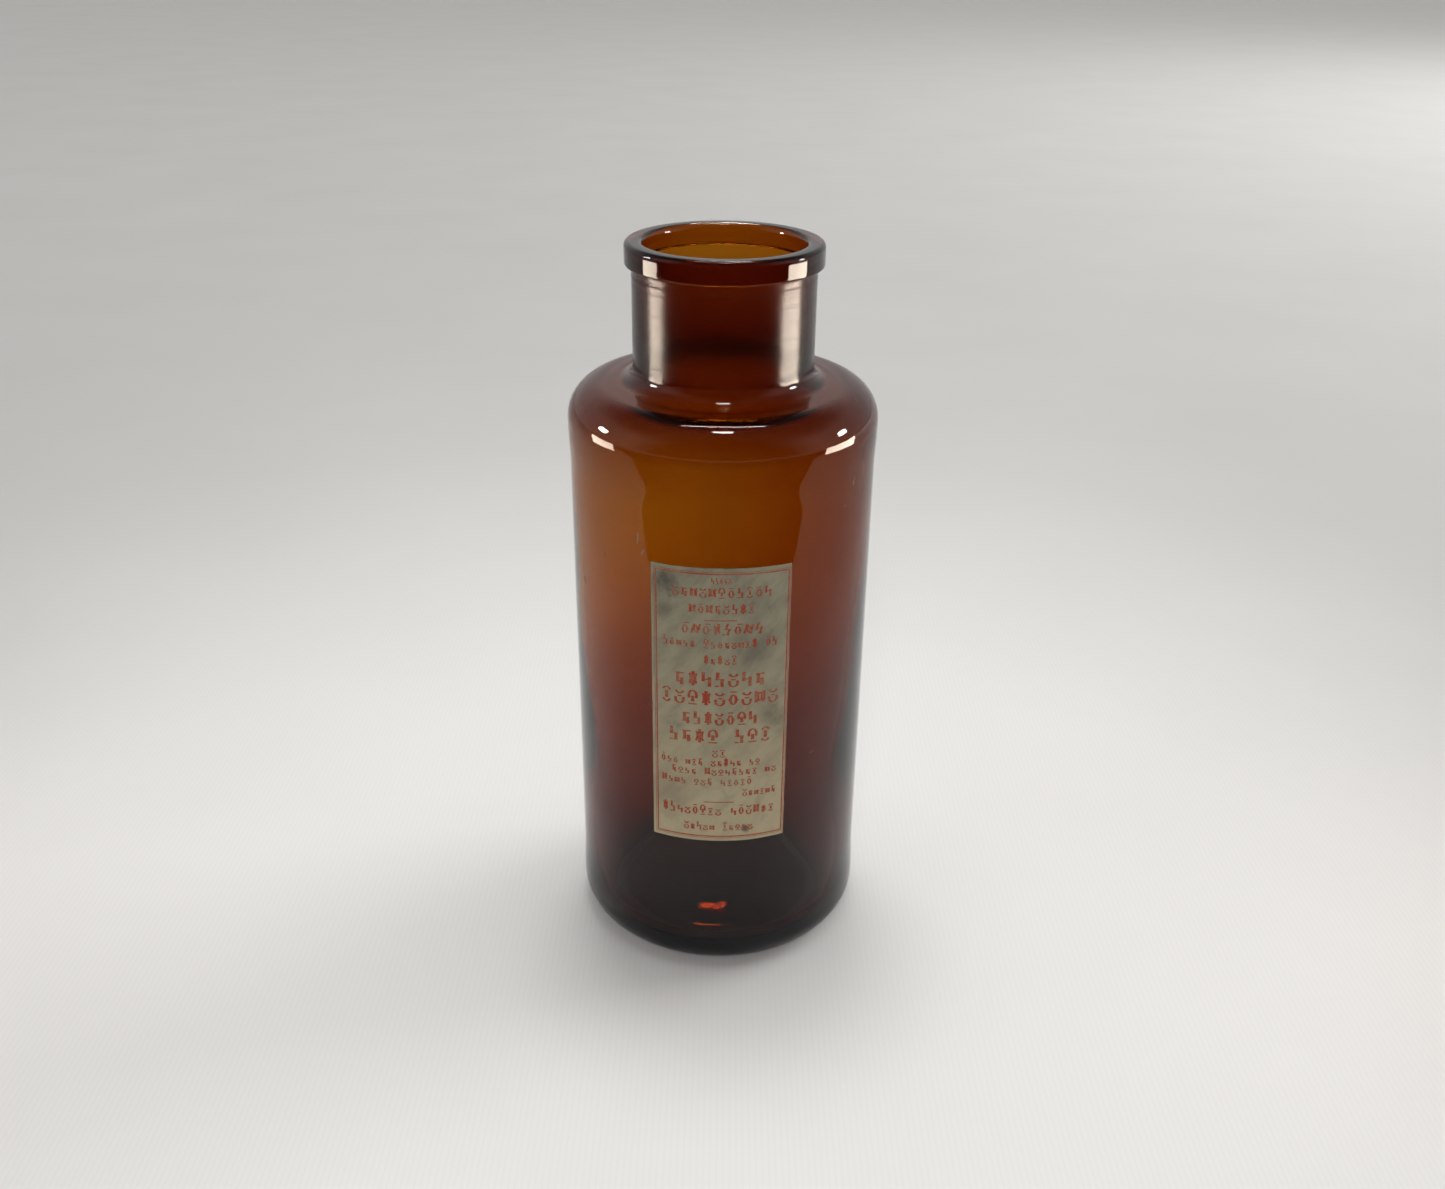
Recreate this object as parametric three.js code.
// A wide-mouth apothecary stock bottle in amber glass, with a gummed paper label on its front.
// Millimetres, +Z up. The origin is the centre of the base, on the surface that the bottle stands on.
// The label faces -Y. The bottle is one piece of glass, and the label is a strip of paper on a dried
// film of gum. Nothing on it moves: the mouth is open, as it is when the cork is out.
import * as THREE from "three";

// --- Driving dimensions ---------------------------------------------------------------------------

const bottle = {
  height: 174.5, // from the surface that it stands on to the lip
  bodyRadius: 36, // at the shoulder and at the heel, where the body is widest
  wall: 2, // in the upper body
  lowWall: 4.2, // just above the inner heel
  lowWallTop: 118, // the wall starts to thicken here, going down
  panelRecess: 0.32, // the label panel sinks in this far between the shoulder and the heel
  panelEase: 12.6, // the height over which it sinks
};

const base = {
  heelRadius: 8.1, // outside rounding from the wall to the foot ring
  footWidth: 3.6, // the flat ring that the bottle stands on
  pushUp: 2.1, // the middle of the base is domed up this far
  thickness: 4.2,
  innerHeelRadius: 7.5,
};

const shoulder = {
  round: 8.4, // outside rounding, from the wall on to the top
  innerRound: 7,
  slope: 0.25, // the top rises by this much, from its rounding in to the neck
  wall: 3.2, // thickness of the top
};

const neck = {
  radius: 20.8,
  length: 26, // from the shoulder to the underside of the lip
  wall: 2.7, // at the mouth
  taper: 1.8, // the bore narrows by this much in radius, down to the throat, to seat a cork
  filletRadius: 3.4, // outside, where the neck rises from the shoulder
  throatRadius: 7, // inside, where the bore opens under the shoulder
};

const lip = {
  overhang: 1.6, // how far the lip stands out from the neck
  height: 5.2,
  topRound: 1.1,
  underRound: 0.5,
  underFillet: 0.25, // in the corner under the lip
  mouthRound: 1.3,
};

const label = {
  width: 32.4, // along the curve of the bottle
  bareAbove: 10.65, // bare glass between the label and the top of the flat panel
  bareBelow: 18.5, // and the same below it
  paper: 0.11,
  gum: 0.06,
  gumMargin: 0.7, // the gum stops this far inside the edge of the paper
};

const contactGap = 0.03; // between the glass and the gum, and between the gum and the paper
const glassFacets = 64;
const labelFacets = 24;

// --- Sizes that follow ----------------------------------------------------------------------------

const quarter = Math.PI / 2;

const lipBottom = bottle.height - lip.height;
const shoulderTop = lipBottom - neck.length;
const shoulderFoot = shoulderTop - shoulder.slope - shoulder.round;
const panelTop = shoulderFoot - bottle.panelEase;
const panelBottom = base.heelRadius + bottle.panelEase;

const panelRadius = bottle.bodyRadius - bottle.panelRecess;
const innerRadius = panelRadius - bottle.wall;
const innerLowRadius = panelRadius - bottle.lowWall;
const lipRadius = neck.radius + lip.overhang;
const mouthRadius = neck.radius - neck.wall;
const boreRadius = mouthRadius - neck.taper;

const gumRadius = panelRadius + contactGap;
const paperRadius = gumRadius + label.gum + contactGap;
const labelBottom = panelBottom + label.bareBelow;
const labelHeight = panelTop - label.bareAbove - labelBottom;

// --- Outlines -------------------------------------------------------------------------------------

// A shallow dome centred on the axis: its arc from the top out to the edge, or back in to the top.
function addDome(path, topHeight, edgeRadius, rise, towardsAxis) {
  const sphereRadius = (edgeRadius ** 2 + rise ** 2) / (2 * rise);
  const edgeAngle = quarter - Math.asin(edgeRadius / sphereRadius);
  const [from, to] = towardsAxis ? [edgeAngle, quarter] : [quarter, edgeAngle];
  path.absarc(0, topHeight - sphereRadius, sphereRadius, from, to, !towardsAxis);
}

// A gentle S that leads the wall from one radius to another over a given height.
function addEase(path, fromRadius, toRadius, fromHeight, toHeight) {
  const middle = (fromHeight + toHeight) / 2;
  path.bezierCurveTo(fromRadius, middle, toRadius, middle, toRadius, toHeight);
}

// A rounding from the wall on to the shoulder's top, which rises a little on its way in to the neck.
function addShoulder(path, wallRadius, rounding, top, neckSide, goingUp) {
  const edgeHeight = top - shoulder.slope;
  const centre = wallRadius - rounding;
  if (goingUp) {
    path.absarc(centre, edgeHeight - rounding, rounding, 0, quarter, false);
    path.lineTo(neckSide, top);
  } else {
    path.lineTo(centre, edgeHeight);
    path.absarc(centre, edgeHeight - rounding, rounding, quarter, 0, true);
  }
}

// The lip's side, from the corner under it to its top.
function addLip(path) {
  const { underFillet, underRound, topRound } = lip;
  path.absarc(neck.radius + underFillet, lipBottom - underFillet, underFillet, 2 * quarter, quarter, true);
  path.absarc(lipRadius - underRound, lipBottom + underRound, underRound, -quarter, 0, false);
  path.absarc(lipRadius - topRound, bottle.height - topRound, topRound, 0, quarter, false);
}

// The outside of the bottle, from the middle of the base out and up to the lip.
function addOutside(path) {
  const footOuter = bottle.bodyRadius - base.heelRadius;
  const footInner = footOuter - base.footWidth;
  path.moveTo(0, base.pushUp);
  addDome(path, base.pushUp, footInner, base.pushUp, false);
  path.absarc(footOuter, base.heelRadius, base.heelRadius, -quarter, 0, false);
  addEase(path, bottle.bodyRadius, panelRadius, base.heelRadius, panelBottom);
  path.lineTo(panelRadius, panelTop);
  addEase(path, panelRadius, bottle.bodyRadius, panelTop, shoulderFoot);

  const filletCentre = neck.radius + neck.filletRadius;
  addShoulder(path, bottle.bodyRadius, shoulder.round, shoulderTop, filletCentre, true);
  path.absarc(filletCentre, shoulderTop + neck.filletRadius, neck.filletRadius, -quarter, -2 * quarter, true);
  addLip(path);
}

// The inside, from the mouth down the bore, under the shoulder, and down to the middle of the base.
function addInside(path) {
  const { mouthRound } = lip;
  const mouthCentre = mouthRadius + mouthRound;
  path.absarc(mouthCentre, bottle.height - mouthRound, mouthRound, quarter, 2 * quarter, false);

  const ceiling = shoulderTop - shoulder.wall;
  const throatCentre = boreRadius + neck.throatRadius;
  path.absarc(throatCentre, ceiling + neck.throatRadius, neck.throatRadius, 2 * quarter, 3 * quarter, false);
  addShoulder(path, innerRadius, shoulder.innerRound, ceiling, throatCentre, false);
  path.lineTo(innerRadius, bottle.lowWallTop);

  const heelTop = base.thickness + base.innerHeelRadius;
  const heelCentre = innerLowRadius - base.innerHeelRadius;
  addEase(path, innerRadius, innerLowRadius, bottle.lowWallTop, heelTop);
  path.absarc(heelCentre, heelTop, base.innerHeelRadius, 0, -quarter, true);
  addDome(path, base.thickness + base.pushUp, heelCentre, base.pushUp, true);
}

// The points of a path: the ends of each straight stretch, and a few along each curve.
function pointsAlong(path) {
  const points = [path.curves[0].getPoint(0)];
  for (const curve of path.curves) {
    const steps = curve.isLineCurve ? 1 : Math.ceil(1 + Math.sqrt(curve.getLength()) / 1.1);
    for (const point of curve.getPoints(steps)) {
      const onAxis = Math.abs(point.x) < 1e-6;
      if (onAxis) point.x = 0;
      if (point.distanceTo(points.at(-1)) > 1e-3) points.push(point);
    }
  }
  return points;
}

// --- Pieces ---------------------------------------------------------------------------------------

function makeBottle() {
  const path = new THREE.Path();
  addOutside(path);
  addInside(path);
  const glass = new THREE.LatheGeometry(pointsAlong(path), glassFacets);
  glass.rotateX(quarter);
  return glass;
}

// A thin sheet wrapped round the front of the bottle.
function makeWrappedSheet(innerRadius, thickness, width, bottom, height) {
  const halfAngle = width / innerRadius / 2;
  const section = new THREE.Shape();
  section.absarc(0, 0, innerRadius + thickness, -quarter - halfAngle, -quarter + halfAngle, false);
  section.absarc(0, 0, innerRadius, -quarter + halfAngle, -quarter - halfAngle, true);
  const options = { depth: height, bevelEnabled: false, curveSegments: labelFacets / 2 };
  const sheet = new THREE.ExtrudeGeometry(section, options);
  sheet.translate(0, 0, bottom);
  return sheet;
}

function makeGum() {
  const width = label.width - 2 * label.gumMargin;
  const height = labelHeight - 2 * label.gumMargin;
  return makeWrappedSheet(gumRadius, label.gum, width, labelBottom + label.gumMargin, height);
}

function makePaper() {
  return makeWrappedSheet(paperRadius, label.paper, label.width, labelBottom, labelHeight);
}

function addPiece(group, name, geometry, look) {
  const piece = new THREE.Mesh(geometry, new THREE.MeshStandardMaterial(look));
  piece.name = name;
  group.add(piece);
}

const vial = new THREE.Group();
addPiece(vial, "glass_bottle", makeBottle(), { color: 0x6b2f0a, roughness: 0.06, metalness: 0 });
addPiece(vial, "label_gum", makeGum(), { color: 0xa9834e, roughness: 0.5, metalness: 0 });
addPiece(vial, "paper_label", makePaper(), { color: 0xb5ae98, roughness: 0.85, metalness: 0 });

export default vial;
